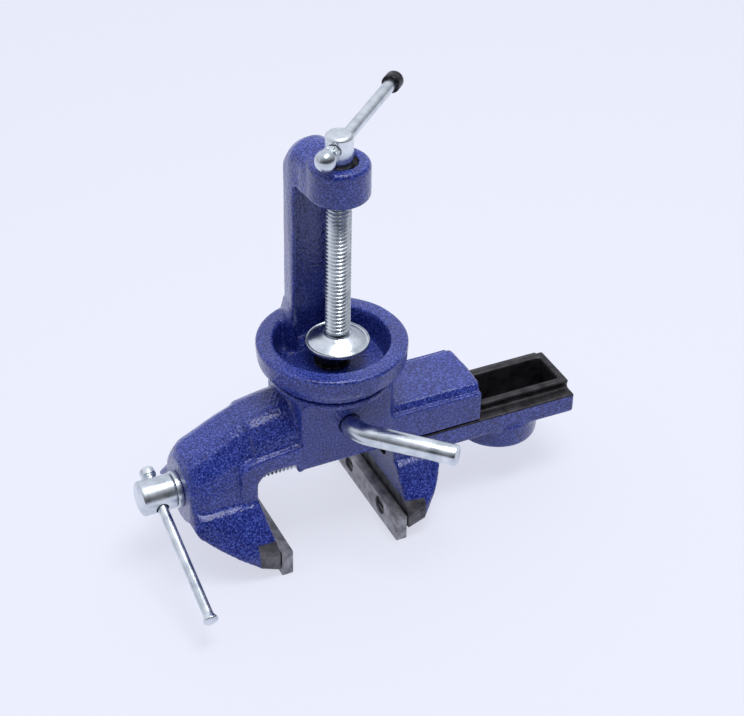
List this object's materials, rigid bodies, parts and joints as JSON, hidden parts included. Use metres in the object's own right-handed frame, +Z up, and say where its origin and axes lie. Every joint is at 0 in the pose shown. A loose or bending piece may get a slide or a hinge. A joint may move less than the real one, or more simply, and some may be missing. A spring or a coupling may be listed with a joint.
{
  "type": "clamp-on swivel bench vise",
  "caption": "Clamp-on swivel bench vise resting upside down on its jaw plates: C-clamp foot on top, sliding rear jaw with anvil, lead screw with bar and swivel lock lever.",
  "frame": {"origin": "middle of the bounding box's footprint, on the surface that the jaw plates' edges stand on", "axes": "+X along the slide from the lead screw's head to the slide's free end, +Z up from the jaws to the clamp screw"},
  "size_m": [0.2246, 0.1176, 0.2109],
  "materials": {
    "enamel": "hammertone blue enamel on cast iron",
    "zinc": "bright zinc-plated turned steel",
    "machined_iron": "bare milled iron",
    "black_oxide": "blackened steel, oiled"
  },
  "bodies": {
    "foot": {"clamp_frame": "enamel", "pivot_washer": "black_oxide", "pivot_bolt": "black_oxide", "pivot_spring_washer": "zinc", "pivot_nut": "zinc"},
    "pad": {"clamp_pad": "zinc"},
    "clamp_spindle": {"clamp_screw": "zinc"},
    "clamp_handle": {"clamp_bar": "zinc", "clamp_bar_ball": "zinc", "clamp_bar_collar": "zinc", "clamp_bar_cap": "black_oxide"},
    "vise": {"vise_body": "enamel", "front_jaw_plate": "machined_iron", "front_jaw_screw_near": "black_oxide", "front_jaw_screw_far": "black_oxide", "lead_screw_washer": "zinc"},
    "lever": {"lock_lever": "zinc"},
    "spindle": {"lead_screw": "zinc", "retaining_collar": "black_oxide", "collar_pin": "zinc"},
    "handle": {"main_bar": "zinc"},
    "slide": {"sliding_jaw": "enamel", "rear_jaw_plate": "machined_iron", "rear_jaw_screw_near": "black_oxide", "rear_jaw_screw_far": "black_oxide", "lead_nut": "machined_iron", "nut_screw": "black_oxide"}
  },
  "joints": [
    {"name": "swivel", "type": "hinge", "parent": "foot", "child": "vise", "pos_m": [-0.01275, 0.01061, 0.1025], "axis": [0, 0, 1], "continuous": true},
    {"name": "lever_turn", "type": "hinge", "parent": "vise", "child": "lever", "pos_m": [-0.01255, 0.01061, 0.0659], "axis": [0, 1, 0], "range_deg": [-60, 60]},
    {"name": "lead_screw_turn", "type": "hinge", "parent": "vise", "child": "spindle", "pos_m": [-0.01275, 0.01061, 0.038], "axis": [1, 0, 0], "range_deg": [-3230, 9820]},
    {"name": "jaw_slide", "type": "slide", "parent": "vise", "child": "slide", "axis": [1, 0, 0], "range_m": [-0.0546, 0.018]},
    {"name": "main_bar_slide", "type": "slide", "parent": "spindle", "child": "handle", "axis": [0, 0.9511, 0.309], "range_m": [0, 0.059]},
    {"name": "clamp_travel", "type": "slide", "parent": "foot", "child": "pad", "axis": [0, 0, 1], "range_m": [0, 0.0556]},
    {"name": "clamp_screw_turn", "type": "hinge", "parent": "pad", "child": "clamp_spindle", "pos_m": [-0.01035, 0.00961, 0.1025], "axis": [0, 0, 1], "range_deg": [0, 10000]},
    {"name": "clamp_bar_slide", "type": "slide", "parent": "clamp_spindle", "child": "clamp_handle", "axis": [-0.7325, -0.6807, 0], "range_m": [0, 0.052]}
  ],
  "couplings": [
    {"joint": "jaw_slide", "follows": "lead_screw_turn", "m_per_rad": -0.00031831},
    {"joint": "clamp_travel", "follows": "clamp_screw_turn", "m_per_rad": 0.00031831}
  ]
}
